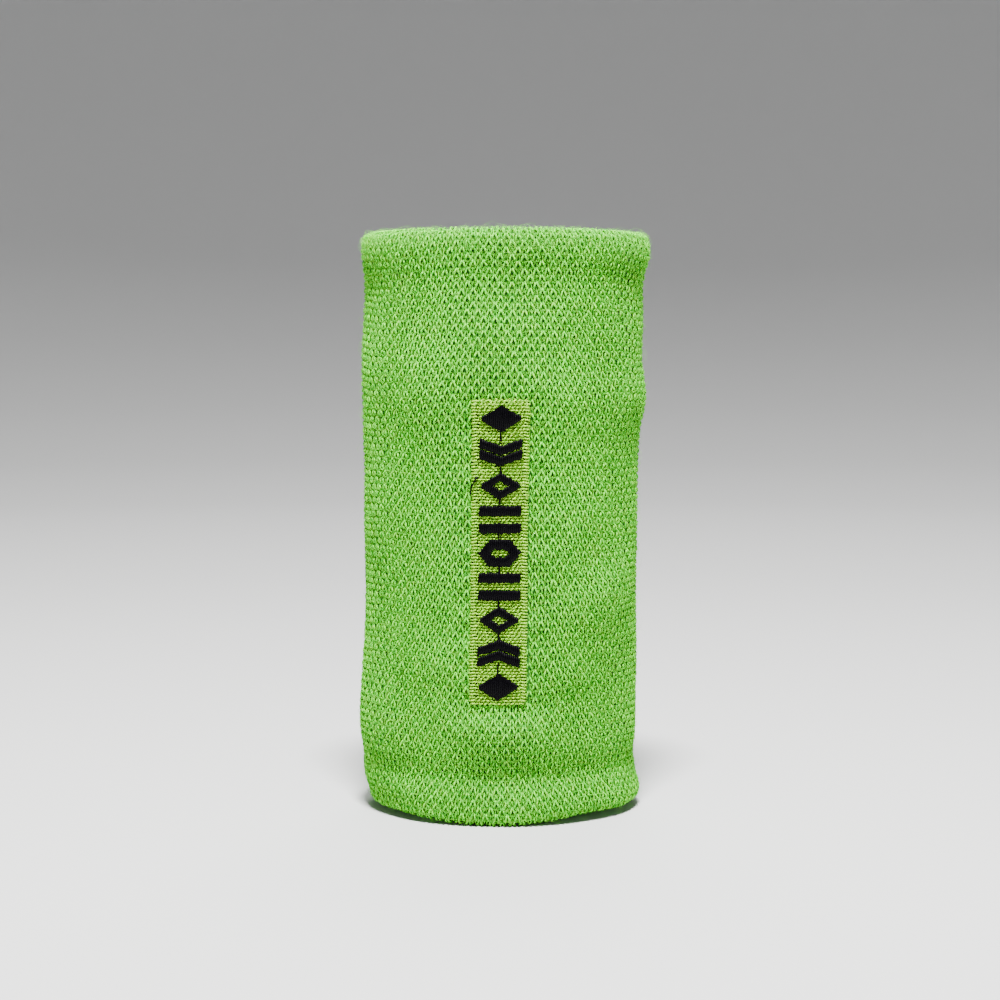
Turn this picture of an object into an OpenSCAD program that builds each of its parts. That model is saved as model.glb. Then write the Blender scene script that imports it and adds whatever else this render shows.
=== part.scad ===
// Sweat wristband: a knitted terry tube turned in on itself, with an embroidered strip.
// Origin at the centre of the bottom edge, +Z up the band, the embroidery faces -Y.

/* [Band] */
// Height of the standing band
band_h = 127; // [115:1:150]
// Outside width at mid-height, left to right
band_w = 60.2; // [56:0.2:80]
// Outside depth at mid-height, front to back
band_d = 52.6; // [46:0.2:55]
// Extra radius of the flared top edge
top_flare = 1.4; // [0.8:0.1:3]
// Extra radius of the soft bulge below the top
shoulder_swell = 0.5; // [0:0.1:1.5]
// Radius lost at the bottom and gained at the top by the band's taper
taper = 0.4; // [0:0.1:1]

/* [Fabric layers] */
// Thickness of the smooth knitted face
face_t = 0.9; // [0.6:0.05:1.1]
// Thickness of the elastic threads laid behind the face
inlay_t = 0.3; // [0.2:0.05:0.5]
// Thickness of each layer of terry loops
pile_t = 0.9; // [0.6:0.05:1.5]
// Elastic threads up the band in one layer, each standing for three laid courses
inlay_count = 28; // [8:2:40]
// Width of the flat where the bottom edge rests
rest_land = 1.6; // [1:0.1:2]

/* [Closing seam] */
// Height of the seam that closes the tube on the inside
seam_z = 62; // [40:1:90]
// Height of the raised seam ridge
seam_h = 2.6; // [1.5:0.1:4]
// How far the seam ridge stands towards the wrist
seam_proud = 0.7; // [0.3:0.1:1.2]

/* [Embroidery] */
// Width of the embroidered strip
patch_w = 12.4; // [11:0.1:16]
// Height of the strip's lower end above the bottom edge
patch_z0 = 27; // [20:0.5:32]
// Length of the strip
patch_h = 64.8; // [64:0.2:72]
// Width of each satin border down the strip's sides
border_w = 1.7; // [1:0.1:1.8]
// Thickness of the lime ground stitches
ground_t = 0.4; // [0.2:0.05:0.5]
// Thickness of the black satin stitches on the ground
satin_t = 0.3; // [0.2:0.05:0.4]
// Width of the satin motifs
motif_w = 8.6; // [6:0.1:9]
// Distance from one motif to the next up the strip
motif_pitch = 7.1; // [7:0.1:7.2]
// Width of a satin stroke
stroke_w = 1.9; // [1.4:0.1:2.1]

/* [Hidden] */

$fn = 96;
eps = 0.001;

// Plan: an oval of four arcs. The side arcs and the front and back arcs meet where the
// wall's normal leans 3 across to 4 deep, so every layer of the wall is the same oval
// with a smaller or larger radius, and their shared ends fall on exact planes.
split_across = 3;
split_deep = 4;
split_length = 5;
half_w = band_w / 2;
half_d = band_d / 2;
arc_step = (half_w - half_d) * split_length / (split_across + split_deep - split_length);
side_centre = arc_step * split_across / split_length;
front_centre = arc_step * split_deep / split_length;
side_r = half_w - side_centre;
front_r = half_d + front_centre;

// Depths into the wall, from the outside of the knitted face inwards
wall_t = 2 * (face_t + inlay_t + pile_t);
pile_depth = face_t + inlay_t;
mid_depth = wall_t / 2;
inner_inlay_depth = wall_t - face_t - inlay_t;
inner_face_depth = wall_t - face_t;

// The turned edges are half rounds of the wall's thickness, and the bottom one is
// flattened where the band stands on it.
fold_r = wall_t / 2;
fold_inner_r = fold_r - face_t;
bottom_fold_z = sqrt(fold_r * fold_r - rest_land * rest_land / 4);
top_fold_z = band_h - fold_r;

// Side view: how far the wall swells out of the plain oval at a height
flare_height = 4;
shoulder_z = 95;
shoulder_height = 11;
function swell(z) =
    taper * (2 * z / band_h - 1)
    + top_flare * exp(-pow((band_h - fold_r - z) / flare_height, 2))
    + shoulder_swell * exp(-pow((z - shoulder_z) / shoulder_height, 2));

// Heights of the wall's facets, closer together towards the flared top
facet_count = 16;
facet_crowding = 1.8;
facet_zs = [
    for (i = [0 : facet_count])
        bottom_fold_z + (top_fold_z - bottom_fold_z)
            * (1 - pow(1 - i / facet_count, facet_crowding))
];
swell_table = [for (z = facet_zs) [z, swell(z)]];
function swell_at(z) = lookup(z, swell_table);
function facets_between(z0, z1) =
    concat([z0], [for (z = facet_zs) if (z > z0 + eps && z < z1 - eps) z], [z1]);

// One arc of the oval: the profile turned about the arc's centre, kept between two lines
// through it
wedge_size = 20;
wedge_over = 10;
module arc(centre, radius, line0, line1) {
    translate(centre)
        intersection() {
            rotate_extrude()
                translate([radius, 0])
                    children();
            translate([0, 0, -wedge_over])
                linear_extrude(band_h + 2 * wedge_over)
                    polygon([[0, 0], wedge_size * line0, wedge_size * line1]);
        }
}

// Draws a side-view profile once around the oval. In the profile x is the distance out
// of the plain oval and y is the height.
module around() {
    for (turn = [0, 180])
        rotate([0, 0, turn]) {
            arc([side_centre, 0, 0], side_r,
                [split_across, -split_deep], [split_across, split_deep])
                children();
            arc([0, -front_centre, 0], front_r,
                [split_across, split_deep], [-split_across, split_deep])
                children();
        }
}

// Draws a profile across the front of the band, between two widths measured along it
module across_front(x0, x1) {
    angle0 = x0 / front_r * 180 / PI;
    angle1 = x1 / front_r * 180 / PI;
    translate([0, front_centre, 0])
        rotate([0, 0, angle0 - 90])
            rotate_extrude(angle = angle1 - angle0)
                translate([front_r, 0])
                    children();
}

// Profile of one layer of the wall, from one depth to a deeper one
module layer(depth0, depth1, z0, z1) {
    zs = facets_between(z0, z1);
    last = len(zs) - 1;
    polygon(concat(
        [for (z = zs) [swell_at(z) - depth0, z]],
        [for (i = [last : -1 : 0]) [swell_at(zs[i]) - depth1, zs[i]]]
    ));
}

// Profile of a fold of the face fabric, or of the pile it holds. up is 1 at the top
// edge and -1 at the bottom one.
module fold(outer_r, inner_r, fold_z, up) {
    translate([swell_at(fold_z) - mid_depth, fold_z])
        intersection() {
            difference() {
                circle(r = outer_r);
                if (inner_r > 0) circle(r = inner_r);
            }
            translate([-outer_r, up > 0 ? 0 : -bottom_fold_z])
                square([2 * outer_r, up > 0 ? outer_r : bottom_fold_z]);
        }
}

inlay_margin = 2;
inlay_thread_h = 0.6;
inlay_pitch = (top_fold_z - bottom_fold_z - 2 * inlay_margin) / (inlay_count - 1);
inlay_zs = [for (i = [0 : inlay_count - 1]) bottom_fold_z + inlay_margin + i * inlay_pitch];

// Profile of the elastic threads in one layer, between two heights
module inlay_rows(depth, z0, z1) {
    for (z = inlay_zs)
        if (z - inlay_thread_h > z0 && z + inlay_thread_h < z1)
            layer(depth, depth + inlay_t, z - inlay_thread_h / 2, z + inlay_thread_h / 2);
}

seam_lo = seam_z - seam_h / 2;
seam_hi = seam_z + seam_h / 2;

module outer_knit_face() {
    color("yellowgreen")
        around()
            layer(0, face_t, bottom_fold_z, top_fold_z);
}

module outer_elastic_inlay() {
    color("olive")
        around()
            inlay_rows(face_t, bottom_fold_z, top_fold_z);
}

// The backing and the bobbin thread press a shallow pocket into the back of the pile
backing_margin = 3;
backing_t = 0.25;
bobbin_t = 0.15;
backing_depth = mid_depth - backing_t - bobbin_t;

module outer_terry_pile() {
    color("olivedrab")
        difference() {
            around()
                layer(pile_depth, mid_depth, bottom_fold_z, top_fold_z);
            across_front(-patch_w / 2 - backing_margin, patch_w / 2 + backing_margin)
                layer(
                    backing_depth, mid_depth + 1,
                    patch_z0 - backing_margin, patch_z0 + patch_h + backing_margin
                );
        }
}

module embroidery_backing() {
    color("whitesmoke")
        across_front(-patch_w / 2 - backing_margin, patch_w / 2 + backing_margin)
            layer(
                backing_depth, backing_depth + backing_t,
                patch_z0 - backing_margin, patch_z0 + patch_h + backing_margin
            );
}

module embroidery_bobbin_thread() {
    color("white")
        across_front(-patch_w / 2, patch_w / 2)
            layer(backing_depth + backing_t, mid_depth, patch_z0, patch_z0 + patch_h);
}

module top_turned_edge() {
    color("yellowgreen")
        around()
            fold(fold_r, fold_inner_r, top_fold_z, 1);
}

module top_edge_pile() {
    color("olivedrab")
        around()
            fold(fold_inner_r, 0, top_fold_z, 1);
}

module bottom_turned_edge() {
    color("yellowgreen")
        around()
            fold(fold_r, fold_inner_r, bottom_fold_z, -1);
}

module bottom_edge_pile() {
    color("olivedrab")
        around()
            fold(fold_inner_r, 0, bottom_fold_z, -1);
}

module inner_pile(z0, z1) {
    color("olivedrab")
        around()
            layer(mid_depth, inner_inlay_depth, z0, z1);
}

module inner_elastic(z0, z1) {
    color("olive")
        around()
            inlay_rows(inner_inlay_depth, z0, z1);
}

module inner_face(z0, z1) {
    color("yellowgreen")
        around()
            layer(inner_face_depth, wall_t, z0, z1);
}

module inner_upper_terry_pile() {
    inner_pile(seam_z, top_fold_z);
}

module inner_lower_terry_pile() {
    inner_pile(bottom_fold_z, seam_z);
}

module inner_upper_elastic_inlay() {
    inner_elastic(seam_hi, top_fold_z);
}

module inner_lower_elastic_inlay() {
    inner_elastic(bottom_fold_z, seam_lo);
}

module inner_upper_knit_face() {
    inner_face(seam_hi, top_fold_z);
}

module inner_lower_knit_face() {
    inner_face(bottom_fold_z, seam_lo);
}

// The two linked ends of the tube, standing a little proud on the wrist side
module closing_seam_ridge() {
    color("olivedrab")
        around()
            layer(inner_face_depth, wall_t + seam_proud, seam_lo, seam_hi);
}

// Two rows of linking thread around the ridge
seam_thread_t = 0.3;
seam_thread_h = 0.5;
seam_row_offset = 0.7;
module closing_seam_thread() {
    color("greenyellow")
        around()
            for (row_z = [seam_z - seam_row_offset, seam_z + seam_row_offset])
                layer(
                    wall_t + seam_proud, wall_t + seam_proud + seam_thread_t,
                    row_z - seam_thread_h / 2, row_z + seam_thread_h / 2
                );
}

module ground_strip(x0, x1) {
    color("goldenrod")
        across_front(x0, x1)
            layer(-ground_t, 0, patch_z0, patch_z0 + patch_h);
}

module embroidery_ground_fill() {
    ground_strip(-patch_w / 2 + border_w, patch_w / 2 - border_w);
}

module embroidery_left_border() {
    ground_strip(-patch_w / 2, -patch_w / 2 + border_w);
}

module embroidery_right_border() {
    ground_strip(patch_w / 2 - border_w, patch_w / 2);
}

// Satin motifs: outlines in the plane of the front, x across and y up, each centred on
// its own place up the strip, and laid on the ground stitches.
motif_count = 9;
motif_h = 5.6;
patch_mid = patch_z0 + patch_h / 2;
function motif_z(i) = patch_mid + (i - (motif_count - 1) / 2) * motif_pitch;

module satin(i) {
    color("black")
        intersection() {
            across_front(-motif_w / 2 - 1, motif_w / 2 + 1)
                layer(-ground_t - satin_t, -ground_t, patch_z0, patch_z0 + patch_h);
            translate([0, 0, motif_z(i)])
                rotate([90, 0, 0])
                    linear_extrude(band_d)
                        children();
        }
}

module lozenge(w, h) {
    polygon([[-w / 2, 0], [0, -h / 2], [w / 2, 0], [0, h / 2]]);
}

module open_lozenge() {
    difference() {
        lozenge(motif_w, motif_h);
        lozenge(motif_w - 2.6 * stroke_w, motif_h - 1.7 * stroke_w);
    }
}

// Two chevrons, one over the other, that point up and fill the motif's height
chevron_gap = 0.6;
chevron_stroke = stroke_w - 0.2;
chevron_rise = motif_h - 2 * chevron_stroke - chevron_gap;
module chevron() {
    polygon([
        [-motif_w / 2, 0], [0, chevron_rise], [motif_w / 2, 0],
        [motif_w / 2, chevron_stroke], [0, chevron_rise + chevron_stroke],
        [-motif_w / 2, chevron_stroke]
    ]);
}

module chevron_pair() {
    for (i = [0, 1])
        translate([0, i * (chevron_stroke + chevron_gap) - motif_h / 2])
            chevron();
}

module bar_pair() {
    for (side = [-1, 1])
        translate([0, side * (motif_h - stroke_w) / 2])
            square([motif_w, stroke_w], center = true);
}

module hexagon(w, h) {
    polygon([
        [-w / 2, 0], [-w / 4, -h / 2], [w / 4, -h / 2],
        [w / 2, 0], [w / 4, h / 2], [-w / 4, h / 2]
    ]);
}

module satin_lozenge_lower() {
    satin(0) lozenge(motif_w, motif_h);
}

module satin_chevrons_lower() {
    satin(lower_chevrons) chevron_pair();
}

module satin_open_lozenge_lower() {
    satin(2) open_lozenge();
}

module satin_bars_lower() {
    satin(3) bar_pair();
}

module satin_hexagon() {
    satin(4)
        difference() {
            hexagon(motif_w, motif_h);
            hexagon(motif_w - 2.2 * stroke_w, motif_h - 2 * stroke_w);
        }
}

module satin_bars_upper() {
    satin(5) bar_pair();
}

module satin_open_lozenge_upper() {
    satin(6) open_lozenge();
}

module satin_chevrons_upper() {
    satin(upper_chevrons) mirror([0, 1]) chevron_pair();
}

module satin_lozenge_upper() {
    satin(8) lozenge(motif_w, motif_h);
}

// Single threads that run from the top of one motif to the foot of the next. They reach
// further into the hollow foot of the chevrons.
jump_w = 0.4;
lower_chevrons = 1;
upper_chevrons = 7;
function hollow_foot(i) = i == lower_chevrons ? chevron_rise : 0;
function hollow_head(i) = i == upper_chevrons ? chevron_rise : 0;
module satin_jump_stitches() {
    for (i = [0 : motif_count - 2]) {
        lower_end = motif_z(i) + motif_h / 2 - hollow_head(i);
        upper_end = motif_z(i + 1) - motif_h / 2 + hollow_foot(i + 1);
        satin(0)
            translate([-jump_w / 2, lower_end - motif_z(0)])
                square([jump_w, upper_end - lower_end]);
    }
}

outer_knit_face();
outer_elastic_inlay();
outer_terry_pile();
top_turned_edge();
top_edge_pile();
bottom_turned_edge();
bottom_edge_pile();
inner_upper_terry_pile();
inner_lower_terry_pile();
inner_upper_elastic_inlay();
inner_lower_elastic_inlay();
inner_upper_knit_face();
inner_lower_knit_face();
closing_seam_ridge();
closing_seam_thread();
embroidery_backing();
embroidery_bobbin_thread();
embroidery_ground_fill();
embroidery_left_border();
embroidery_right_border();
satin_lozenge_lower();
satin_chevrons_lower();
satin_open_lozenge_lower();
satin_bars_lower();
satin_hexagon();
satin_bars_upper();
satin_open_lozenge_upper();
satin_chevrons_upper();
satin_lozenge_upper();
satin_jump_stitches();
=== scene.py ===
import math

import bpy
import numpy as np
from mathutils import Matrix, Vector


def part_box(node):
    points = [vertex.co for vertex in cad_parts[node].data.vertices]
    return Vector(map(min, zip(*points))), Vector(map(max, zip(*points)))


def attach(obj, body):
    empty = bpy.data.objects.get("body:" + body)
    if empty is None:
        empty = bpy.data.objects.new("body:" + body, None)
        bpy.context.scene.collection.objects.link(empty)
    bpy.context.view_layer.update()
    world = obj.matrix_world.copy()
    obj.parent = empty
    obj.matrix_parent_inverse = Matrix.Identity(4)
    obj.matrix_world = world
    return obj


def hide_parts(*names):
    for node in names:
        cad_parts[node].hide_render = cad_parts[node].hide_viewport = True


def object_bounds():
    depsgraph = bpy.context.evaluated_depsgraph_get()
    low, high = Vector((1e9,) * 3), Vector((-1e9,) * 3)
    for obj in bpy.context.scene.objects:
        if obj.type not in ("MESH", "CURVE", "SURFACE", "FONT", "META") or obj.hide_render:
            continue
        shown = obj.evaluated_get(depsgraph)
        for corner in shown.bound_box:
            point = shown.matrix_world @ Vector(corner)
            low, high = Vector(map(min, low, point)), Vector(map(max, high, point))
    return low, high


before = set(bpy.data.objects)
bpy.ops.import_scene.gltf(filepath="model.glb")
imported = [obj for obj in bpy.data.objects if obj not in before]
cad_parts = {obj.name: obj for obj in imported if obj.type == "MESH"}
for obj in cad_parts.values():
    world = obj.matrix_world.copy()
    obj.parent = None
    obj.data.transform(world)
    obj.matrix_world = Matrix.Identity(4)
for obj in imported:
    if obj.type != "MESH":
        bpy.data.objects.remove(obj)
cad_low, cad_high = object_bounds()

# A long sweat wristband: one knitted tube turned in on itself, with an embroidered strip.
# Shapes are worked out in millimetres and put into the scene in metres.
MM = 0.001
TURN = 2 * math.pi
rng = np.random.default_rng(67)

# ---------------------------------------------------------------- sizes from the frame


def box_mm(node):
    """A CAD node's box, in millimetres."""
    low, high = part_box(node)
    return np.array(low) / MM, np.array(high) / MM


def size_mm(node):
    low, high = box_mm(node)
    return high - low


BAND_H = cad_high.z / MM
FOLD_R = size_mm("top_turned_edge")[2]
WALL = 2 * FOLD_R
BOTTOM_FOLD_Z = size_mm("bottom_turned_edge")[2]
TOP_FOLD_Z = BAND_H - FOLD_R
HALF_W = box_mm("bottom_turned_edge")[1][0]
HALF_D = box_mm("bottom_turned_edge")[1][1]
TOP_FLARE = box_mm("top_turned_edge")[1][0] - HALF_W
SEAM_LOW, SEAM_HIGH = (box[2] for box in box_mm("closing_seam_ridge"))
SEAM_Z = (SEAM_LOW + SEAM_HIGH) / 2
PATCH_LOW = box_mm("embroidery_left_border")[0]
PATCH_HIGH = box_mm("embroidery_right_border")[1]
PATCH_HALF = PATCH_HIGH[0]
PATCH_Z0, PATCH_Z1 = PATCH_LOW[2], PATCH_HIGH[2]
PATCH_MID = (PATCH_Z0 + PATCH_Z1) / 2
BORDER_W = size_mm("embroidery_left_border")[0]

# ---------------------------------------------------------------- camera, light, stage


# Metres, degrees and watts in this part; the lens and its sensor are in millimetres.

CAMERA_PLACE = (-0.0002, -0.492, 0.105)
CAMERA_TILT = 4.3        # below level
LENS_MM = 80


def make_camera():
    """The photograph's view: from four fifths of the way up the band, slightly down."""
    data = bpy.data.cameras.new("camera")
    data.lens = LENS_MM
    data.sensor_width = 36
    data.clip_start = 0.01
    data.clip_end = 50
    camera = bpy.data.objects.new("camera", data)
    camera.location = CAMERA_PLACE
    camera.rotation_euler = (math.radians(90 - CAMERA_TILT), 0, 0)
    bpy.context.scene.collection.objects.link(camera)
    bpy.context.scene.camera = camera


# Name, place, the height on the axis that it points at, diameter, power. The top lamp
# does most of the work; the keys fill the sides and the back one lights the rim.
LIGHTS = [
    ("left key", (-0.66, -0.72, 0.50), 0.06, 0.24, 0.6),
    ("right key", (0.68, -0.70, 0.50), 0.06, 0.24, 0.75),
    ("top", (0.0, -0.27, 0.72), 0.09, 0.14, 30),
    ("back", (0.05, 0.72, 1.0), 0.06, 0.7, 12),
]
WORLD_COLOUR = (0.86, 0.88, 0.9, 1)
WORLD_STRENGTH = 0.2


def area_light(name, place, target_z, diameter, watts):
    """A round lamp turned towards a point on the band's axis."""
    data = bpy.data.lights.new(name, "AREA")
    data.shape = "DISK"
    data.size = diameter
    data.energy = watts
    light = bpy.data.objects.new(name, data)
    light.location = place
    aim = np.array((0, 0, target_z)) - np.array(place)
    yaw = math.atan2(aim[1], aim[0]) - math.pi / 2
    pitch = math.atan2(math.hypot(aim[0], aim[1]), -aim[2])
    light.rotation_euler = (pitch, 0, yaw)
    bpy.context.scene.collection.objects.link(light)


def make_world():
    world = bpy.data.worlds.new("studio")
    world.use_nodes = True
    background = world.node_tree.nodes["Background"]
    background.inputs["Color"].default_value = WORLD_COLOUR
    background.inputs["Strength"].default_value = WORLD_STRENGTH
    bpy.context.scene.world = world


def make_floor():
    """A plain floor whose far rim sweeps up all round, so that no horizon shows. It grows
    paler with distance, to make up for the lamps being near its middle."""
    centre, flat, sweep, wall, segments = 0.02, 0.9, 2.4, 2.8, 96
    bend = np.linspace(0, math.pi / 2, 17)
    radius = np.concatenate([[centre], flat + sweep * np.sin(bend), [flat + sweep]])
    height = np.concatenate([[0], sweep * (1 - np.cos(bend)), [wall]])
    turn = TURN * np.arange(segments) / segments
    x = radius[:, None] * np.cos(turn)
    y = radius[:, None] * np.sin(turn)
    z = np.broadcast_to(height[:, None], x.shape)
    points = np.stack([x, y, z], axis=-1).reshape(-1, 3)
    mesh = bpy.data.meshes.new("floor")
    middle = [tuple(range(segments))]
    quads = grid_faces(len(radius), segments)
    mesh.from_pydata(points.tolist(), [], middle + quads.tolist())
    mesh.polygons.foreach_set("use_smooth", np.full(len(mesh.polygons), True))
    floor = bpy.data.objects.new("floor", mesh)
    bpy.context.scene.collection.objects.link(floor)
    material = bpy.data.materials.new("pale_floor")
    material.use_nodes = True
    nodes, links = material.node_tree.nodes, material.node_tree.links
    shader = nodes["Principled BSDF"]
    shader.inputs["Roughness"].default_value = 0.9
    distance = nodes.new("ShaderNodeVectorMath")
    distance.operation = "LENGTH"
    links.new(nodes.new("ShaderNodeTexCoord").outputs["Object"], distance.inputs[0])
    paler = nodes.new("ShaderNodeValToRGB")
    near, far = paler.color_ramp.elements
    near.position, near.color = 0.15, (0.50, 0.50, 0.495, 1)
    far.position, far.color = 1.0, (0.90, 0.90, 0.895, 1)
    scaled = nodes.new("ShaderNodeMath")
    scaled.operation = "DIVIDE"
    scaled.inputs[1].default_value = flat + sweep
    links.new(distance.outputs["Value"], scaled.inputs[0])
    links.new(scaled.outputs["Value"], paler.inputs["Fac"])
    links.new(paler.outputs["Color"], shader.inputs["Base Color"])
    mesh.materials.append(material)


# ---------------------------------------------------------------- the band's surface
# The plan is an oval given by its support function: the distance of the tangent line
# from the axis, at each direction of the normal. Adding a distance to it gives the
# parallel oval, so every layer of the wall keeps its thickness.

PLAN_MEAN = (HALF_W + HALF_D) / 2
PLAN_OVAL = (HALF_W - HALF_D) / 2
FRONT = 1.5 * math.pi


def plan_point(angle, offset):
    """The point of the oval, grown by offset, where the normal stands at that angle."""
    support = PLAN_MEAN + PLAN_OVAL * np.cos(2 * angle) + offset
    slope = -2 * PLAN_OVAL * np.sin(2 * angle)
    cos, sin = np.cos(angle), np.sin(angle)
    return support * cos - slope * sin, support * sin + slope * cos


WALES = 144
GIRTH_DEPTH = 0.5        # the girth is measured this far under the plain oval
table_angle = np.linspace(FRONT - math.pi, FRONT + math.pi, 2881)
table_steps = np.hypot(*np.diff(plan_point(table_angle, -GIRTH_DEPTH), axis=1))
table_arc = np.concatenate([[0], np.cumsum(table_steps)])
GIRTH = table_arc[-1]
WALE = GIRTH / WALES


def angle_at(wale):
    """The normal's angle at a place counted in wales to the right of the front's middle."""
    turns = np.floor(wale / WALES + 0.5)
    arc = (wale - turns * WALES) * WALE + GIRTH / 2
    return np.interp(arc, table_arc, table_angle) + turns * TURN


def bump(x, middle, width):
    """1 at the middle, falling off smoothly on both sides."""
    return np.exp(-(((x - middle) / width) ** 2))


def turned(angle, middle):
    """The angle from a direction, from -180 to 180 degrees."""
    return (np.degrees(angle) - middle + 180) % 360 - 180


# Soft swells and, with a negative amount, dents of the kind that a knitted tube keeps:
# (direction of the normal in degrees, height, width in degrees, spread below, spread
# above, slant in millimetres a degree, amount)
DENTS = [
    (0, 123.4, 36, 4.8, 6, 0, 1.32),
    (-56, 123, 24, 4.2, 6, 0, 0.28),
    (0, 108, 45, 12, 12, 0, 0.95),
    (0, 91, 33, 4.5, 9, 0, 0.95),
    (0, 2.5, 45, 3, 2.6, 0, 1.00),
    (0, 9, 40, 3, 3, 0, 0.35),
    (180, 9.5, 40, 3.5, 3.5, 0, 0.60),
    (180, 90, 45, 6, 8, 0, -0.55),
    (0, 99, 40, 5, 5, 0, -0.45),
    (180, 118, 45, 14, 10, 0, -0.60),
    (180, 19, 45, 13, 13, 0, 1.50),
    (180, 1.5, 50, 3.2, 3.2, 0, -0.80),
    (180, 90, 45, 14, 16, 0, 0.10),
    (-88, 105.5, 12, 8, 5.5, 0, 0.65),
    (-118, 97.0, 18, 9, 7, 0, 0.55),
    (-73, 92, 13, 4, 6, 0, 0.50),
    (-110, 92.5, 17, 6, 6, 0, 0.35),
    (-53, 48, 24, 9, 5.5, 0.2, 1.45),
    (-110, 34, 14, 3.2, 6, 0, 0.55),
    (-68, 32, 17, 3.6, 7, 0, 0.65),
    (-92, 20.5, 12, 4, 2.6, 0, 0.55),
    (-90, 21.0, 48, 6, 8, 0, 0.22),
    (-76, 10.0, 22, 3.0, 3.4, 0, -0.30),
    (-74, 17.5, 13, 3.4, 5, 0, 0.35),
    (-90, 122.8, 36, 5, 4.6, 0, -0.20),
    (-150, 62, 22, 8, 10, -0.1, 0.35),
    (60, 35, 30, 8, 10, 0.1, -0.50),
    (130, 100, 30, 10, 12, 0, -0.45),
    (110, 22, 40, 7, 9, -0.1, 0.45),
    (75, 74, 35, 9, 12, 0.15, 0.40),
]
# What goes all the way round: the rolled rim, the fuller shoulder above the middle and
# the hollow above the hem
RIM_Z, RIM_SPREAD, RIM_SWELL = 122.8, 4.8, 0.78
SHOULDER_Z, SHOULDER_BELOW, SHOULDER_ABOVE, SHOULDER_SWELL = 91, 9, 15, 0.70
HOLLOW_Z, HOLLOW_SPREAD, HOLLOW_DEPTH = 10.4, 3.7, 0.85
FLARE_SHARE = 0.22       # how much of the rim's flare is spread down the whole wall
STAND_OUT = 0.2


def swell(angle, z):
    """How far the wall stands out of the plain oval, for both of its layers."""
    out = TOP_FLARE * FLARE_SHARE * z / BAND_H + STAND_OUT
    out = out + RIM_SWELL * bump(z, RIM_Z, RIM_SPREAD)
    shoulder_spread = np.where(z < SHOULDER_Z, SHOULDER_BELOW, SHOULDER_ABOVE)
    out = out + SHOULDER_SWELL * bump(z, SHOULDER_Z, shoulder_spread)
    out = out - HOLLOW_DEPTH * bump(z, HOLLOW_Z, HOLLOW_SPREAD)
    for direction, height, width, below, above, slant, amount in DENTS:
        aside = turned(angle, direction)
        up = z - height - slant * aside
        out = out + amount * bump(aside, 0, width) * bump(up, 0, np.where(up < 0, below, above))
    ripple = 0.10 * np.sin(5 * angle + z / 9) + 0.08 * np.sin(9 * angle - z / 7 + 1.3)
    return out + ripple + 0.07 * np.sin(z / 4.3 + 2 * np.sin(3 * angle))


# Where along the band's width the hem lifts more or less: (place, from -1 at the left
# edge to 1 at the right, spread, amount)
HEM_LIFTS = [(0.6, 0.25, 0.75), (1, 0.2, -0.3), (-0.62, 0.32, 0.4), (-0.8, 0.22, 0.45)]
HEM_REACH, RIM_REACH = 14, 20      # how far up and down the lifts die away


def hem_lift(angle, z):
    """The band stands on the front and back of its hem; the sides ride a little higher.
    At the rim the sides sit a little lower."""
    place = np.cos(angle)
    aside = np.abs(place)
    low = 2.4 * aside**1.4 * np.exp(-0.8 * aside) + 0.75 * np.maximum(place, 0) ** 0.7
    for middle, spread, amount in HEM_LIFTS:
        low = low + amount * bump(place, middle, spread)
    low = low * np.exp(-z / HEM_REACH)
    return low - 0.45 * aside**2 * np.exp((z - BAND_H) / RIM_REACH)


# The fabric's path from seam to seam: down the inside, round the bottom fold, up the
# outside, round the top fold and down the inside. It is measured in millimetres from
# the start of the outside, at the height of the middle of the yarn layer.

YARN_DEPTH = 0.45        # the middle of the yarn layer lies this far under the surface
HEM_ROOM = 0.1           # lifts everything, to leave room for the loops under the hem
FLOOR_CLEAR = 0.24       # no yarn's middle comes nearer to the floor than about its radius
STRIP_DROP = 0.8         # the strip is sewn this far down the cloth from its CAD height
YARN_FOLD_R = FOLD_R - YARN_DEPTH
OUTSIDE = TOP_FOLD_Z - BOTTOM_FOLD_Z
FOLD_LENGTH = math.pi * YARN_FOLD_R
PATH_START = -FOLD_LENGTH - (SEAM_LOW - BOTTOM_FOLD_Z)
PATH_END = OUTSIDE + FOLD_LENGTH + (TOP_FOLD_Z - SEAM_HIGH)


def from_front(wale):
    """The distance along the girth from the front's middle line."""
    return (wale - WALES * np.floor(wale / WALES + 0.5)) * WALE


def patch_press(wale, path):
    """0 away from the embroidery and 1 under it, where the stitches hold the knit down."""
    inset, soft = 0.2, 0.35
    across = np.abs(from_front(wale))
    beside = 1 / (1 + np.exp((across - PATCH_HALF + inset) / soft))
    z = path + BOTTOM_FOLD_Z + STRIP_DROP
    beyond = np.abs(z - PATCH_MID) - (PATCH_Z1 - PATCH_Z0) / 2
    within = 1 / (1 + np.exp((beyond + inset) / soft))
    return beside * within


def pucker(wale, path):
    """The shallow trough and small gathers that the embroidery pulls into the knit. The
    trough is weaker over the strip's top end, and the gathers are only beside it."""
    across = np.abs(from_front(wale))
    z = path + BOTTOM_FOLD_Z + STRIP_DROP
    beyond = np.maximum(np.abs(z - PATCH_MID) - (PATCH_Z1 - PATCH_Z0) / 2, 0)
    away = np.hypot(np.maximum(across - PATCH_HALF, 0), beyond)
    trough = -0.45 * bump(away, 0, 3.2)
    folds = np.sin(z / 1.15 + 0.8 * np.sign(from_front(wale)))
    gathers = 0.16 * folds * bump(away, 1.6, 1.6)
    over = 1 / (1 + np.exp((PATCH_Z1 - z) / 1.2))
    around = trough + 0.25 * bump(away, 6, 3.5)
    return around * (1 - 0.7 * over) + gathers * (beyond < 0.5)


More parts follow.
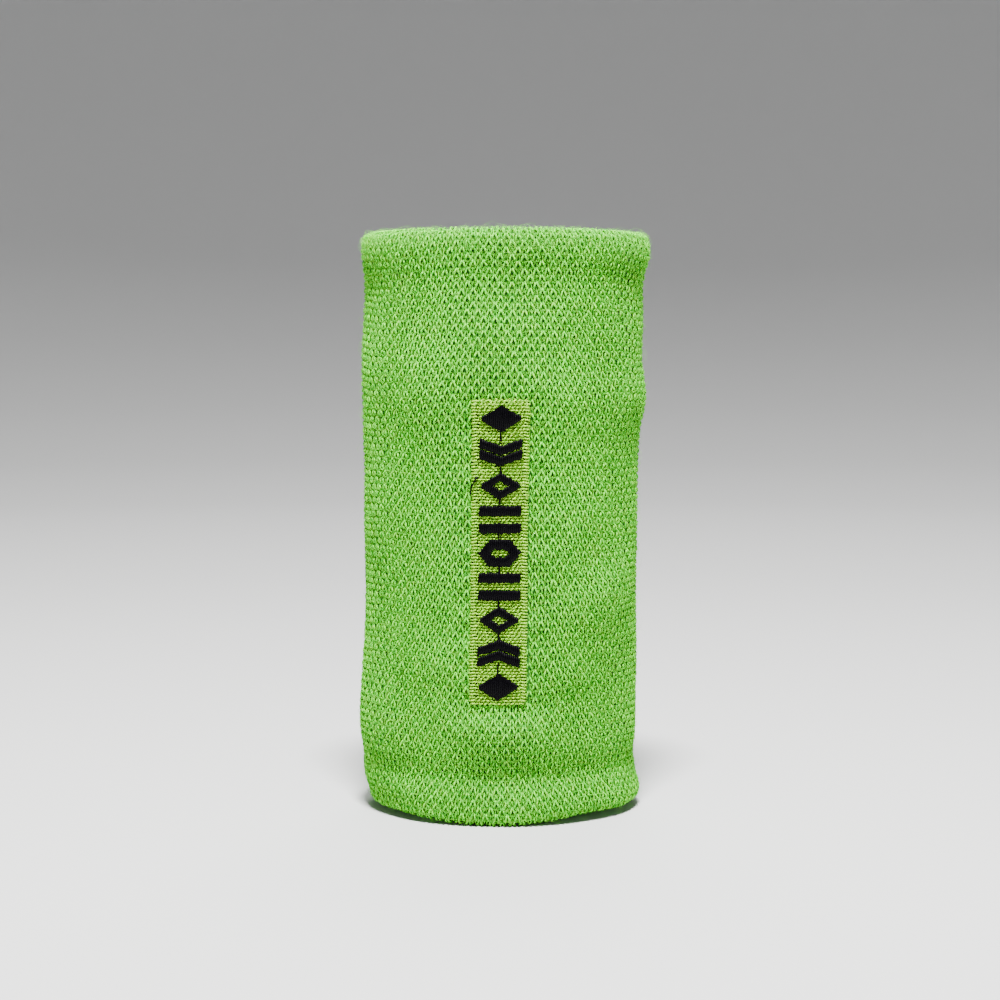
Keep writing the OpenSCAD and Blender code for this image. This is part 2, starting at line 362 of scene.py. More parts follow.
def on_band(wale, path, height):
    """Points on the band, from a place in wales, along the path, and above the yarn layer."""
    wale, path, height = np.broadcast_arrays(wale, path, height)
    angle = angle_at(wale)
    over_top = np.clip((path - OUTSIDE) / FOLD_LENGTH, 0, 1)
    under = np.clip(-path / FOLD_LENGTH, 0, 1)
    lean = math.pi * (over_top - under)
    down_inside = np.maximum(path - OUTSIDE - FOLD_LENGTH, 0)
    up_inside = np.maximum(-path - FOLD_LENGTH, 0)
    mid_z = BOTTOM_FOLD_Z + np.clip(path, 0, OUTSIDE) - down_inside + up_inside
    outside = (path >= -1) & (path <= OUTSIDE + 1)
    height = height + np.where(outside, pucker(wale, path), 0)
    reach = YARN_FOLD_R + height
    offset = swell(angle, mid_z) - FOLD_R + reach * np.cos(lean)
    x, y = plan_point(angle, offset)
    z = mid_z + HEM_ROOM + reach * np.sin(lean) + hem_lift(angle, mid_z)
    return np.stack([x, y, np.maximum(z, FLOOR_CLEAR)], axis=-1)


# ---------------------------------------------------------------- mesh building


def new_piece(name, points, faces, material):
    """A smooth-shaded piece on the root body, from points in millimetres."""
    mesh = bpy.data.meshes.new(name)
    corners = faces.shape[1]
    mesh.vertices.add(len(points))
    mesh.vertices.foreach_set("co", (points * MM).astype(np.float32).ravel())
    mesh.loops.add(faces.size)
    mesh.loops.foreach_set("vertex_index", faces.astype(np.int32).ravel())
    mesh.polygons.add(len(faces))
    mesh.polygons.foreach_set("loop_start", np.arange(0, faces.size, corners, dtype=np.int32))
    mesh.update(calc_edges=True)
    mesh.validate()
    mesh.polygons.foreach_set("use_smooth", np.full(len(faces), True))
    mesh.materials.append(material)
    piece = bpy.data.objects.new(name, mesh)
    bpy.context.scene.collection.objects.link(piece)
    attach(piece, "root")
    return piece


def tubes(lines, outward, radius, sides, closed=False, flatten=1.0):
    """Threads along lines of points. lines and outward have the shape (threads, points,
    3). radius is one number or one for each point, and flatten below 1 makes a thread
    less deep than wide. Returns points and quads."""
    count, length = lines.shape[:2]
    if closed:
        ahead = np.roll(lines, -1, axis=1) - np.roll(lines, 1, axis=1)
    else:
        ahead = np.gradient(lines, axis=1)
    ahead = ahead / np.linalg.norm(ahead, axis=2, keepdims=True)
    side = np.cross(ahead, outward)
    side = side / np.linalg.norm(side, axis=2, keepdims=True)
    up = np.cross(side, ahead)
    radius = np.broadcast_to(radius, (count, length))[..., None, None]
    turn = TURN * (np.arange(sides) + 0.5) / sides
    across = side[:, :, None] * np.cos(turn)[:, None]
    ring = across + flatten * up[:, :, None] * np.sin(turn)[:, None]
    points = lines[:, :, None] + radius * ring
    index = np.arange(count * length * sides).reshape(count, length, sides)
    here = index if closed else index[:, :-1]
    there = np.roll(index, -1, axis=1) if closed else index[:, 1:]
    quads = np.stack(
        [here, np.roll(here, -1, axis=2), np.roll(there, -1, axis=2), there], axis=-1
    )
    return points.reshape(-1, 3), quads.reshape(-1, 4)


def grid_faces(rows, columns):
    """Quads of a grid whose last column joins its first."""
    index = np.arange(rows * columns).reshape(rows, columns)
    ahead = np.roll(index, -1, axis=1)
    quads = np.stack([index[:-1], ahead[:-1], ahead[1:], index[1:]], axis=-1)
    return quads.reshape(-1, 4)


def torus_faces(rows, columns):
    """Quads of a grid that closes on itself both ways."""
    index = np.arange(rows * columns).reshape(rows, columns)
    ahead, down = np.roll(index, -1, axis=1), np.roll(index, -1, axis=0)
    quads = np.stack([index, ahead, np.roll(down, -1, axis=1), down], axis=-1)
    return quads.reshape(-1, 4)


def band_normals(wale, path):
    """The way out of the cloth, to the length of one for each millimetre of height."""
    step = 0.05
    return (on_band(wale, path, step) - on_band(wale, path, -step)) / (2 * step)


def joined(parts):
    """One set of points and faces out of several."""
    points, faces, start = [], [], 0
    for p, f in parts:
        points.append(p)
        faces.append(f + start)
        start += len(p)
    return np.concatenate(points), np.concatenate(faces)


# ---------------------------------------------------------------- the knit

COURSES = 173
COURSE = (PATH_END - PATH_START) / COURSES
YARN_R = 0.225
LOOP_TOP = 0.98                              # the neck, above the middle of its course
LOOP_LENGTH, FORWARD_LONGER = 1.90, 0.24     # from neck to head, and more on forward loops
SWING, FORWARD_SWING = 0.20, 0.27            # sideways, in wales: narrow neck, wide head
FORWARD_WIDER = 0.10                         # in wales, at the middle of each leg
NECK_DEPTH = 0.46                            # the neck and head lie this deep
LEG_LIFT, FORWARD_LIFT = 0.32, 0.54          # the legs' rise, and more on forward loops
PRESS_DEPTH = 0.55                           # how far the embroidery presses the loops in


def wander(wale, course):
    """Slow sideways and lengthways drift of the rows, in millimetres."""
    a, b = TURN * wale / WALES, course * COURSE / 20
    side = 0.22 * np.sin(3 * a + b) + 0.16 * np.sin(7 * a - 1.7 * b + 0.6)
    side = side + 0.1 * np.sin(13 * a + 2.6 * b)
    along = 0.35 * np.sin(2 * a + 0.4) + 0.22 * np.sin(5 * a + 0.8 * b + 2)
    along = along + 0.12 * np.sin(11 * a - b)
    return side, along


def knit_rows(first, last, samples, sides):
    """The yarn of the courses from first to last. The tube is knitted downward: each loop
    comes out from behind as a narrow neck, its two legs spread as they run down in front,
    and its head passes behind the legs of the course below. Every other loop, in a
    checkerboard, sits over a laid elastic thread: it is wider and stands forward as an
    arch, with the loops between sunk behind it."""
    rows = np.arange(first, last)[:, None]
    t = np.arange(WALES * samples) / samples
    within = t % 1.0
    wale_number = np.floor(t).astype(int)[None, :]
    forward = ((wale_number + rows) % 2 == 0).astype(float)
    drop = (1 - np.cos(TURN * within)) / 2             # 0 at the neck, 1 at the head
    legs = 3.85 * drop**1.3 * (1 - drop) ** 0.75       # 0 at both, 1 where the legs bulge
    per_loop = (len(rows), WALES)
    jitter_forward = rng.normal(0, 0.045, per_loop)[:, wale_number[0]]
    jitter_long = rng.normal(0, 0.08, per_loop)[:, wale_number[0]]
    jitter_side = rng.normal(0, 0.04, per_loop)[:, wale_number[0]]
    along = LOOP_TOP - drop * (LOOP_LENGTH + FORWARD_LONGER * forward + jitter_long)
    swing = np.where(forward > 0, FORWARD_SWING, SWING) * np.sin(2 * TURN * within)
    widen = np.where(forward > 0, FORWARD_WIDER, 0.0) * np.sin(TURN * within)
    side = (t[None, :] - 0.5 + swing - widen) * WALE + jitter_side * drop
    height = -NECK_DEPTH + legs * (LEG_LIFT + FORWARD_LIFT * forward + jitter_forward)
    drift_side, drift_along = wander(t[None, :], rows)
    path = PATH_START + (rows + 0.5) * COURSE + along + drift_along
    path = np.clip(path, PATH_START, PATH_END)
    wale = (side + drift_side) / WALE
    height = height - PRESS_DEPTH * patch_press(wale, path)
    lines = on_band(wale, path, height)
    normals = band_normals(wale, path)
    thickness = YARN_R * (1 + rng.normal(0, 0.05, per_loop)[:, wale_number[0]])
    thickness = thickness * (0.86 + 0.10 * legs + 0.10 * legs * forward)
    return tubes(lines, normals, thickness, sides, closed=True)


MOST_TRIANGLES = 200000  # in one piece of the knit


def make_knit(materials):
    """The whole tube's loops, course by course, split into pieces of limited size."""
    bottom_fold = math.floor((-FOLD_LENGTH - PATH_START) / COURSE)
    outside = math.ceil(-PATH_START / COURSE)
    top_fold = math.floor((OUTSIDE - PATH_START) / COURSE) + 1
    inner_upper = math.ceil((OUTSIDE + FOLD_LENGTH - PATH_START) / COURSE)
    fine, plain = (12, 6), (8, 5)      # points along each loop, and round the yarn
    made = []
    regions = [
        ("inner_lower_knit", 0, bottom_fold, plain, "inner_lower_knit_face"),
        ("bottom_edge_knit", bottom_fold, outside, fine, "bottom_turned_edge"),
        ("outer_knit", outside, top_fold, fine, "outer_knit_face"),
        ("top_edge_knit", top_fold, inner_upper, fine, "top_turned_edge"),
        ("inner_upper_knit", inner_upper, COURSES, plain, "inner_upper_knit_face"),
    ]
    for name, first, last, (samples, sides), node in regions:
        most = MOST_TRIANGLES // (WALES * samples * sides * 2)
        groups = math.ceil((last - first) / most)
        edges = np.linspace(first, last, groups + 1).round().astype(int)
        for number, (a, b) in enumerate(zip(edges[:-1], edges[1:]), 1):
            points, quads = knit_rows(a, b, samples, sides)
            piece = new_piece(f"{name}_{number:02d}", points, quads, materials["knit"])
            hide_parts(node)
            made.append(piece)
    return made


def shell(path0, path1, height0, height1, rows, columns, rough=0.0):
    """A closed layer of the wall between two places on the path and two heights."""
    path = np.linspace(path0, path1, rows)
    loop_path = np.concatenate([path, path[::-1]])[:, None]
    loop_height = np.concatenate([np.full(rows, height1), np.full(rows, height0)])[:, None]
    wale = (np.arange(columns) * WALES / columns)[None, :]
    if rough:
        grain = rng.normal(0, rough, (2 * rows, columns))
        loop_height = loop_height + grain
    points = on_band(wale, loop_path, loop_height)
    return points.reshape(-1, 3), torus_faces(2 * rows, columns)


def make_layers(materials):
    """The ground that closes the knit behind its loops, and the terry between the walls."""
    # The ground is a sheet whose dark green is painted shade: it stands for the shadowed depth seen
    # through the gaps between the loops.
    ground_low = -0.7
    cloth = shell(PATH_START, PATH_END, ground_low, -NECK_DEPTH, 190, 240)
    ground = new_piece("knit_ground_painted_shade", *cloth, materials["ground"])
    pile_top, pile_low = -0.75, YARN_DEPTH - FOLD_R + 0.04
    layers = [
        ("outer_terry", 0, OUTSIDE, 80, "outer_terry_pile"),
        ("top_edge_terry", OUTSIDE, OUTSIDE + FOLD_LENGTH, 9, "top_edge_pile"),
        ("bottom_edge_terry", -FOLD_LENGTH, 0, 9, "bottom_edge_pile"),
        ("inner_upper_terry", OUTSIDE + FOLD_LENGTH, PATH_END, 40, "inner_upper_terry_pile"),
        ("inner_lower_terry", PATH_START, -FOLD_LENGTH, 40, "inner_lower_terry_pile"),
    ]
    for name, start, end, rows, node in layers:
        points, quads = shell(start, end, pile_low, pile_top, rows, 300, rough=0.03)
        pile = new_piece(name, points, quads, materials["terry"])
        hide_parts(node)


def make_elastic(materials):
    """One covered elastic thread behind each course, except over the folds and the seam."""
    thread_r, behind_legs, end_gap = 0.14, 0.34, 0.4
    spans = [
        ("outer_elastic", 0, OUTSIDE),
        ("inner_upper_elastic", OUTSIDE + FOLD_LENGTH, PATH_END),
        ("inner_lower_elastic", PATH_START, -FOLD_LENGTH),
    ]
    for name, start, end in spans:
        rows = np.arange(COURSES)[:, None]
        t = np.arange(WALES * 2)[None, :] / 2
        _, drift_along = wander(t, rows)
        path = PATH_START + (rows + 0.5) * COURSE + 0.3 + drift_along
        middle = path.mean(axis=1)
        keep = (middle > start + end_gap) & (middle < end - end_gap)
        path = np.clip(path[keep], PATH_START, PATH_END)
        wale = np.broadcast_to(t - 0.5, path.shape)
        height = -behind_legs - 0.5 * patch_press(wale, path)
        lines = on_band(wale, path, height)
        points, quads = tubes(lines, band_normals(wale, path), thread_r, 4, closed=True)
        piece = new_piece(name + "_threads", points, quads, materials["elastic"])
        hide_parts(name + "_inlay")


def make_seam(materials):
    """The linked ends of the tube on the inside, and the thread that whips over them."""
    around, ring = 360, 14
    angle = TURN * np.arange(around) / around
    turn = TURN * np.arange(ring) / ring
    half_h, proud = (SEAM_HIGH - SEAM_LOW) / 2, 0.7
    depth = WALL - YARN_DEPTH
    wobble = 0.06 * np.sin(37 * angle) + 0.05 * np.sin(61 * angle + 1)
    groove = 1 - 0.22 * bump(np.degrees(turn), 180, 28)
    reach = (YARN_DEPTH + proud) * np.cos(turn)[:, None]
    offset = -depth + reach * (groove[:, None] + wobble[None, :])
    z = SEAM_Z + half_h * np.sin(turn)[:, None] * (1 + 0.5 * wobble[None, :])
    x, y = plan_point(angle[None, :], offset + swell(angle, SEAM_Z)[None, :])
    points = np.stack([x, y, np.broadcast_to(z, x.shape)], axis=-1).reshape(-1, 3)
    quads = torus_faces(ring, around)
    # The ridge wears the ground's dark green, which is painted shade rather than the yarn's own
    # colour.
    ridge = new_piece("closing_seam_ridge_fabric", points, quads, materials["ground"])
    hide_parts("closing_seam_ridge")

    loops, per_loop = WALES, 12
    t = np.arange(loops * per_loop) / per_loop
    angle = TURN * t / loops
    swing = TURN * t
    offset = -depth - (0.55 + proud) * np.cos(swing) + swell(angle, SEAM_Z)
    x, y = plan_point(angle, offset)
    z = SEAM_Z + (half_h + 0.12) * np.sin(swing) + 0.08 * np.sin(11 * angle)
    line = np.stack([x, y, z], axis=-1)[None]
    outward = np.stack([np.cos(angle), np.sin(angle), 0 * angle], axis=-1)[None]
    points, quads = tubes(line, outward + 0.01, 0.14, 6, closed=True)
    thread = new_piece("closing_seam_whipping", points, quads, materials["seam_thread"])
    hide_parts("closing_seam_thread")


# ---------------------------------------------------------------- the embroidery


STRIP_LEAN, STRIP_ASIDE = 0.0115, 0.35


def on_strip(x, z, height):
    """Points on the embroidered strip: x across, z up, height above the band's surface.
    The strip leans a little to the right and sits a little left of the middle."""
    lean = (z - PATCH_MID) * STRIP_LEAN - STRIP_ASIDE
    wale = (x + lean) / WALE
    return on_band(wale, z - STRIP_DROP - BOTTOM_FOLD_Z, height + YARN_DEPTH)


def strip_normals(x, z):
    return on_strip(x, z, 0.05) - on_strip(x, z, -0.05)


def stitches(x0, z0, x1, z1, height, sink, radius, samples=7, flatten=0.8, bow=3):
    """Single stitches from one needle hole to the next, each a low arch whose ends dip."""
    s = np.linspace(0, 1, samples)
    x = x0[:, None] + (x1 - x0)[:, None] * s
    z = z0[:, None] + (z1 - z0)[:, None] * s
    arch = 1 - np.abs(2 * s - 1) ** bow
    h = height[:, None] - sink + sink * arch
    lines = on_strip(x, z, h)
    outward = strip_normals(x, z)
    return tubes(lines, outward, radius, 6, flatten=flatten)


LAYER = 0.56             # how far the lime stitches below lie under those on top


def make_ground_stitches(materials):
    """Lime ground: rows across the strip, each row a run of short stitches whose ends are
    set over from row to row, and a ladder of thicker stitches down each side."""
    row_pitch, length, corner, shortest = 0.66, 0.92, 1.1, 0.35
    rows = int((PATCH_Z1 - PATCH_Z0) / row_pitch)
    pitch = (PATCH_Z1 - PATCH_Z0) / rows
    row_z = PATCH_Z0 + (np.arange(rows) + 0.5) * pitch
    from_end = np.minimum(row_z - PATCH_Z0, PATCH_Z1 - row_z)
    rounding = corner - np.sqrt(corner**2 - np.maximum(corner - from_end, 0) ** 2)
    inner = PATCH_HALF - BORDER_W
    starts, ends, row_of = [], [], []
    for row, z in enumerate(row_z):
        shift = (row % 2) / 2 * length + rng.normal(0, 0.07)
        cuts = np.arange(-inner - 0.3 - shift, inner + length, length)
        cuts = np.clip(cuts + rng.normal(0, 0.08, len(cuts)), -inner - 0.35, inner + 0.35)
        keep = np.diff(cuts) > shortest
        starts.append(cuts[:-1][keep])
        ends.append(cuts[1:][keep])
        row_of.append(np.full(keep.sum(), z))
    x0, x1, z = (np.concatenate(part) for part in (starts, ends, row_of))
    slant = 0.11 + rng.normal(0, 0.12, len(x0))
    height = 0.14 + rng.normal(0, 0.05, len(x0))
    over = stitches(x0, z - slant, x1, z + slant, height, sink=0.5, radius=0.17, bow=2)
    between = z + pitch / 2
    under = stitches(
        x0 + 0.4, between + slant, x1 + 0.4, between - slant, height - LAYER,
        sink=0.2, radius=0.14,
    )
    fill = new_piece("lime_ground_stitches", *joined([over, under]), materials["lime"])
    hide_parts("embroidery_ground_fill")

    for name, side in (("left", -1), ("right", 1)):
        edge = side * (PATCH_HALF - 0.42 - rounding + rng.normal(0, 0.06, rows))
        inside = side * (inner + 0.3 + rng.normal(0, 0.08, rows))
        tilt = 0.06 + rng.normal(0, 0.04, rows)
        lift = 0.22 + rng.normal(0, 0.03, rows)
        bars = stitches(
            edge, row_z - tilt, inside, row_z + tilt, lift, sink=0.45, radius=0.195, bow=2.2
        )
        back = stitches(
            inside, row_z + tilt, edge, row_z + pitch - tilt, lift - LAYER,
            sink=0.25, radius=0.14,
        )
        border = new_piece(f"lime_{name}_border_stitches", *joined([bars, back]), materials["lime"])
        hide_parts(f"embroidery_{name}_border")


def lozenge_half(x, width, height):
    """Half the height of a lozenge at each x."""
    return np.maximum(height / 2 * (1 - np.abs(x) / (width / 2)), 0)


def hexagon_half(x, width, height):
    """Half the height at each x of a hexagon with a flat top and base."""
    slope = (width / 2 - np.abs(x)) / (width / 4)
    return height / 2 * np.clip(slope, 0, 1)


def ring_spans(outer, inner):
    """The stretches of satin at each x between an outer outline and a hole."""
    spans = [np.stack([inner, outer]), np.stack([-outer, -inner])]
    whole = inner <= 0
    spans[0] = np.where(whole, np.stack([-outer, outer]), spans[0])
    spans[1] = np.where(whole, np.nan, spans[1])
    return spans


STROKE = 1.9             # width of the satin strokes


def motif_spans(kind, x, width, height):
    """For each thread's x, the lower and upper ends of the satin, as a list of stretches."""
    if kind == "lozenge":
        half = lozenge_half(x, width, height)
        return [np.stack([-half, half])]
    if kind == "open_lozenge":
        hole = lozenge_half(x, width - 2.6 * STROKE, height - 1.7 * STROKE)
        return ring_spans(lozenge_half(x, width, height), hole)
    if kind == "hexagon":
        hole = hexagon_half(x, width - 2.2 * STROKE, height - 2 * STROKE)
        return ring_spans(hexagon_half(x, width, height), hole)
    if kind == "bars":
        one = np.stack([np.full(len(x), height / 2 - STROKE), np.full(len(x), height / 2)])
        return [one, -one[::-1]]
    gap, stroke = 0.6, STROKE - 0.2
    rise = height - 2 * stroke - gap
    foot = rise * (1 - np.abs(x) / (width / 2)) - height / 2
    low = np.stack([foot, foot + stroke])
    high = low + stroke + gap
    if kind == "chevrons_down":
        return [-low[::-1], -high[::-1]]
    return [low, high]


MOTIFS = [
    ("satin_lozenge_lower", "lozenge"),
    ("satin_chevrons_lower", "chevrons_up"),
    ("satin_open_lozenge_lower", "open_lozenge"),
    ("satin_bars_lower", "bars"),
    ("satin_hexagon", "hexagon"),
    ("satin_bars_upper", "bars"),
    ("satin_open_lozenge_upper", "open_lozenge"),
    ("satin_chevrons_upper", "chevrons_down"),
    ("satin_lozenge_upper", "lozenge"),
]


def make_motifs(materials):
    """Black satin shapes: close threads that run up and down between the outlines, over
    a second layer that fills the gaps between them."""
    thread_pitch, past_edge, shortest = 0.40, 0.06, 0.3
    slant = thread_pitch / 4
    for node, kind in MOTIFS:
        low, high = box_mm(node)
        width, height = high[0] - low[0], high[2] - low[2]
        mid_x, mid_z = (low[0] + high[0]) / 2, (low[2] + high[2]) / 2
        count = int(width / thread_pitch)
        x = (np.arange(count) + 0.5) * width / count - width / 2
        parts = []
        for lower, upper in motif_spans(kind, x, width, height):
            keep = np.nan_to_num(upper - lower) > shortest
            z0, z1, at = lower[keep], upper[keep], x[keep]
            z0 = z0 - past_edge + rng.normal(0, 0.06, len(at)) + mid_z
            z1 = z1 + past_edge + rng.normal(0, 0.06, len(at)) + mid_z
            lift = 0.56 + rng.normal(0, 0.012, len(at))
            at = at + mid_x
            parts.append(stitches(at - slant, z0, at + slant, z1, lift, sink=0.3, radius=0.2))
            at = at + 2 * slant
            parts.append(
                stitches(at - slant, z0, at + slant, z1, lift - 0.16, sink=0.2, radius=0.19)
            )
        piece = new_piece(node + "_threads", *joined(parts), materials["black"])
        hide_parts(node)


def make_jumps(materials):
    """Pairs of single threads from each motif to the next, and one loose thread tail at
    the strip's left edge."""
    parts = []
    for (lower, _), (upper, _) in zip(MOTIFS[:-1], MOTIFS[1:]):
        below, above = box_mm(lower), box_mm(upper)
        z0, z1 = below[1][2] - 0.7, above[0][2] + 0.9
        for twin in (-1, 1):
            x0 = np.array([0.15 * twin + rng.normal(0, 0.12)])
            x1 = np.array([0.12 * twin + rng.normal(0, 0.12)])
            parts.append(
                stitches(
                    x0, np.array([z0]), x1, np.array([z1]), np.array([0.5]),
                    sink=0.1, radius=0.14, samples=9, flatten=1.0,
                )
            )
    tail_x = np.array([[-4.7, -5.0, -5.2, -5.5, -5.8, -5.9, -6.1, -6.15]])
    tail_z = 75.5 - np.array([[0.0, 0.35, 0.9, 1.5, 2.0, 2.6, 3.2, 3.8]])
    lift = 0.62 + np.array([[-0.5, 0.0, 0.12, 0.05, 0.15, 0.1, 0.0, -0.1]])
    tail = on_strip(tail_x, tail_z, lift)
    parts.append(tubes(tail, strip_normals(tail_x, tail_z), 0.19, 6))
    piece = new_piece("satin_jump_threads", *joined(parts), materials["black"])
    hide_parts("satin_jump_stitches")


def make_reverse_side(materials):
    """What lies behind the embroidery: the backing and the bobbin thread."""
    margin = (size_mm("embroidery_backing")[0] - 2 * PATCH_HALF) / 2
    half_w = PATCH_HALF + margin
    z0, z1 = PATCH_Z0 - margin, PATCH_Z1 + margin
    across, along = 40, 120
    x = np.linspace(-half_w, half_w, across)[None, :]
    z = np.linspace(z0, z1, along)[:, None]
    layers = []
    for depth in (1.9, 1.72):          # under the surface: the backing's two faces
        grain = rng.normal(0, 0.012, (along, across))
        layers.append(on_strip(x, z, -depth + grain).reshape(-1, 3))
    index = np.arange(across * along).reshape(along, across)
    top = np.stack([index[:-1, :-1], index[:-1, 1:], index[1:, 1:], index[1:, :-1]], axis=-1)
    top = top.reshape(-1, 4)
    rim = np.concatenate([index[0, :-1], index[:-1, -1], index[-1, :0:-1], index[:0:-1, 0]])
    after = np.roll(rim, -1)
    shift = across * along
    sides = np.stack([rim, after, after + shift, rim + shift], axis=-1)
    faces = np.concatenate([top[:, ::-1], top + shift, sides])
    backing = new_piece("cutaway_backing", np.concatenate(layers), faces, materials["backing"])
    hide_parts("embroidery_backing")

    rows, thread_depth = 96, 1.93
    behind = np.full(rows, -thread_depth)
    z = np.linspace(PATCH_Z0 + 0.3, PATCH_Z1 - 0.3, rows)
    edge = np.full(rows, PATCH_HALF - 0.2)
    runs = stitches(-edge, z, edge, z + 0.3, behind, sink=0.02, radius=0.07, samples=16)
    bobbin = new_piece("bobbin_thread_runs", *runs, materials["bobbin"])
    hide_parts("embroidery_bobbin_thread")


# ---------------------------------------------------------------- loose fibres


def make_fuzz(materials):
    """Short fibres that stand off the yarn on the outside, except over the strip, and more
    of them on the rim. Each lot is how many, from where to where on the path, and how far
    they stray."""
    everywhere = (7000, -FOLD_LENGTH * 0.6, OUTSIDE + FOLD_LENGTH * 0.8, 1.0)
    rim = (4200, OUTSIDE - 1.5, OUTSIDE + FOLD_LENGTH * 0.65, 0.9)
    lots = (everywhere, everywhere, everywhere, rim)
    for number, (count, first, last, stray) in enumerate(lots, 1):
        wale = rng.uniform(-WALES / 2, WALES / 2, count)
        path = rng.uniform(first, last, count)
        beside = np.abs(from_front(wale)) > PATCH_HALF + 0.6
        beyond = np.abs(path + BOTTOM_FOLD_Z - PATCH_MID) > (PATCH_Z1 - PATCH_Z0) / 2 + 0.8
        clear = beside | beyond
        wale, path = wale[clear], path[clear]
        count = len(wale)
        heading = rng.uniform(0, TURN, count)
        curl = rng.normal(0, 1.4, count)
        length = 0.5 + rng.gamma(2.0, 0.55, count) * stray
        lift = rng.uniform(0.0, 0.42 * stray, count) * length
        s = np.linspace(0, 1, 5)
        bend = heading[:, None] + curl[:, None] * s
        step = length[:, None] / 4
        side = np.cumsum(np.cos(bend), axis=1) * step
        along = np.cumsum(np.sin(bend), axis=1) * step
        height = 0.30 + lift[:, None] * np.sin(math.pi * 0.62 * s)
        w = wale[:, None] + side / WALE
        p = np.clip(path[:, None] + along, -FOLD_LENGTH * 0.9, OUTSIDE + FOLD_LENGTH * 0.95)
        lines = on_band(w, p, height)
        taper = 0.013 * np.array([1, 1, 0.9, 0.7, 0.25])[None, :]
        points, quads = tubes(lines, band_normals(w, p), np.broadcast_to(taper, w.shape), 3)
        piece = new_piece(f"loose_fibres_{number}", points, quads, materials["fibre"])


# ---------------------------------------------------------------- materials


class Nodes:
    """One material and short helpers for its node tree."""

    def __init__(self, name, roughness, specular=0.25, sheen=0.0):
        self.material = bpy.data.materials.new(name)
        self.material.use_nodes = True
        self.tree = self.material.node_tree
        self.shader = self.tree.nodes["Principled BSDF"]
        self.shader.inputs["Roughness"].default_value = roughness
        self.shader.inputs["Specular IOR Level"].default_value = specular
        self.shader.inputs["Sheen Weight"].default_value = sheen
        self.shader.inputs["Sheen Roughness"].default_value = 0.5
        self.place = self.tree.nodes.new("ShaderNodeTexCoord").outputs["Object"]

    def noise(self, size_mm, detail=2.0, roughness=0.5, stretch=(1, 1, 1)):
        scaled = self.tree.nodes.new("ShaderNodeMapping")
        scaled.inputs["Scale"].default_value = [1 / (s * size_mm * MM) for s in stretch]
        self.tree.links.new(self.place, scaled.inputs["Vector"])
        texture = self.tree.nodes.new("ShaderNodeTexNoise")
        texture.inputs["Scale"].default_value = 1.0
        texture.inputs["Detail"].default_value = detail
        texture.inputs["Roughness"].default_value = roughness
        self.tree.links.new(scaled.outputs["Vector"], texture.inputs["Vector"])
        return texture.outputs["Fac"]

    def ramp(self, value, stops):
        node = self.tree.nodes.new("ShaderNodeValToRGB")
        elements = node.color_ramp.elements
        while len(elements) < len(stops):
            elements.new(0.5)
        for element, (position, colour) in zip(elements, stops):
            element.position = position
            element.color = (*colour, 1)
        self.tree.links.new(value, node.inputs["Fac"])
        return node.outputs["Color"]

    def mix(self, factor, first, second, blend="MIX"):
        node = self.tree.nodes.new("ShaderNodeMix")
        node.data_type = "RGBA"
        node.blend_type = blend
        for socket, value in (("Factor", factor), ("A", first), ("B", second)):
            target = next(s for s in node.inputs if s.name == socket and s.enabled)
            if isinstance(value, (int, float)):
                target.default_value = value
            elif isinstance(value, tuple):
                target.default_value = (*value, 1)
            else:
                self.tree.links.new(value, target)
        return next(s for s in node.outputs if s.enabled)

    def colour(self, value):
        self.tree.links.new(value, self.shader.inputs["Base Color"])

    def bump(self, value, strength, distance_mm):
        node = self.tree.nodes.new("ShaderNodeBump")
        node.inputs["Strength"].default_value = strength
        node.inputs["Distance"].default_value = distance_mm * MM
        self.tree.links.new(value, node.inputs["Height"])
        self.tree.links.new(node.outputs["Normal"], self.shader.inputs["Normal"])


def knit_material():
    """Heathered apple green yarn: dark and light fibres, some of them warmer."""
    n = Nodes("green_yarn", 0.7, specular=0.1)
    fibres = n.noise(0.19, detail=3, roughness=0.6, stretch=(1, 1, 3))
    dark, middle, light = (0.009, 0.14, 0.008), (0.036, 0.36, 0.008), (0.27, 1.0, 0.03)
    base = n.ramp(fibres, [(0.32, dark), (0.5, middle), (0.63, light)])
    warmth = n.ramp(n.noise(0.9, detail=2), [(0.52, (0, 0, 0)), (0.72, (0.5, 0.5, 0.5))])
    base = n.mix(warmth, base, (0.24, 0.48, 0.03))
    broad = n.ramp(n.noise(14, detail=1), [(0.3, (0.9, 0.92, 0.88)), (0.7, (1, 1, 1))])
    n.colour(n.mix(1.0, base, broad, "MULTIPLY"))
    n.bump(n.noise(0.12, detail=2, roughness=0.6, stretch=(1, 1, 4)), 0.4, 0.05)
    return n.material


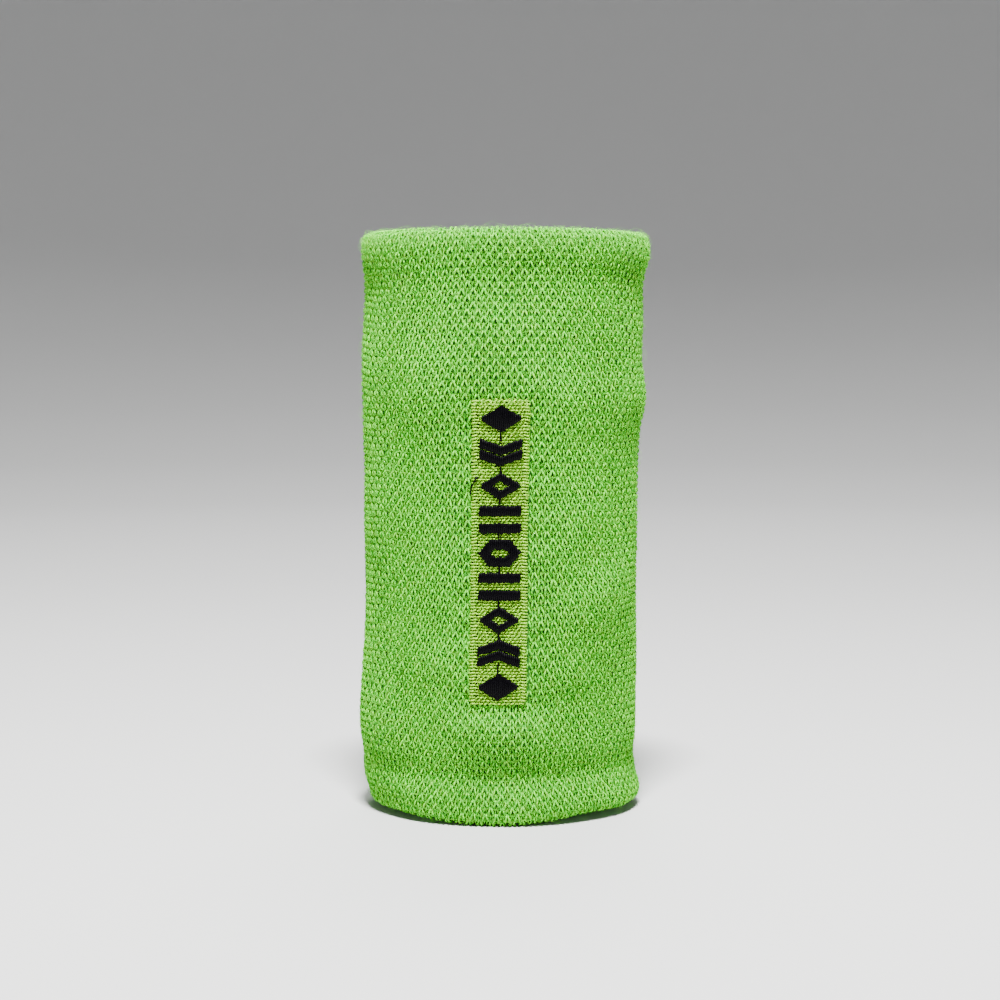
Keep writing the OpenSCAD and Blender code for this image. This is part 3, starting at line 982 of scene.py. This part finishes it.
def plain_fabric(name, dark, light, grain_mm, sheen=0.2):
    """Matt cloth or yarn that varies between two colours, with a grain of its own."""
    n = Nodes(name, 0.9, sheen=sheen)
    n.colour(n.ramp(n.noise(grain_mm, detail=3, roughness=0.6), [(0.35, dark), (0.65, light)]))
    n.bump(n.noise(grain_mm * 0.6, detail=3), 0.6, 0.08)
    return n.material


def thread_material(name, stops, roughness, lustre, sheen=0.0):
    """Embroidery thread, with a fine grain and a soft lustre."""
    n = Nodes(name, roughness, specular=lustre, sheen=sheen)
    n.colour(n.ramp(n.noise(0.22, detail=3, roughness=0.6), stops))
    n.bump(n.noise(0.09, detail=2), 0.5, 0.03)
    return n.material


def make_materials():
    """The colours are linear, each as (place on the noise, colour) or as dark and light."""
    white = [(0.35, (0.7, 0.7, 0.68)), (0.65, (0.85, 0.85, 0.83))]
    lime = [(0.34, (0.025, 0.11, 0.0004)), (0.5, (0.125, 0.37, 0.005)), (0.61, (0.55, 0.93, 0.06))]
    black = [(0.35, (0.0003, 0.0003, 0.0004)), (0.65, (0.0014, 0.0010, 0.0022))]
    return {
        "knit": knit_material(),
        # The ground's dark green is painted shade for the gaps behind the loops; the seam ridge
        # wears it too.
        "ground": plain_fabric("green_ground_painted_shade", (0.006, 0.07, 0.0015), (0.015, 0.13, 0.004), 0.4),
        "terry": plain_fabric("green_terry", (0.03, 0.26, 0.006), (0.07, 0.48, 0.015), 0.6),
        "elastic": plain_fabric("olive_elastic", (0.06, 0.11, 0.006), (0.15, 0.21, 0.018), 0.3),
        "seam_thread": plain_fabric("seam_thread", (0.05, 0.35, 0.01), (0.13, 0.6, 0.03), 0.3),
        "backing": plain_fabric("white_backing", (0.62, 0.62, 0.58), (0.8, 0.8, 0.77), 0.8),
        "bobbin": thread_material("white_bobbin", white, 0.5, 0.4, sheen=0.1),
        "lime": thread_material("lime_thread", lime, 0.55, 0.16),
        "black": thread_material("black_thread", black, 0.38, 0.06),
        "fibre": plain_fabric(
            "light_fibre", (0.07, 0.45, 0.015), (0.28, 0.8, 0.06), 0.85, sheen=0.0
        ),
    }


# ---------------------------------------------------------------- build

make_camera()
make_world()
make_floor()
for light in LIGHTS:
    area_light(*light)
materials = make_materials()
knit = make_knit(materials)
make_layers(materials)
make_elastic(materials)
make_seam(materials)
make_ground_stitches(materials)
make_motifs(materials)
make_jumps(materials)
make_reverse_side(materials)
make_fuzz(materials)

bpy.context.view_layer.update()
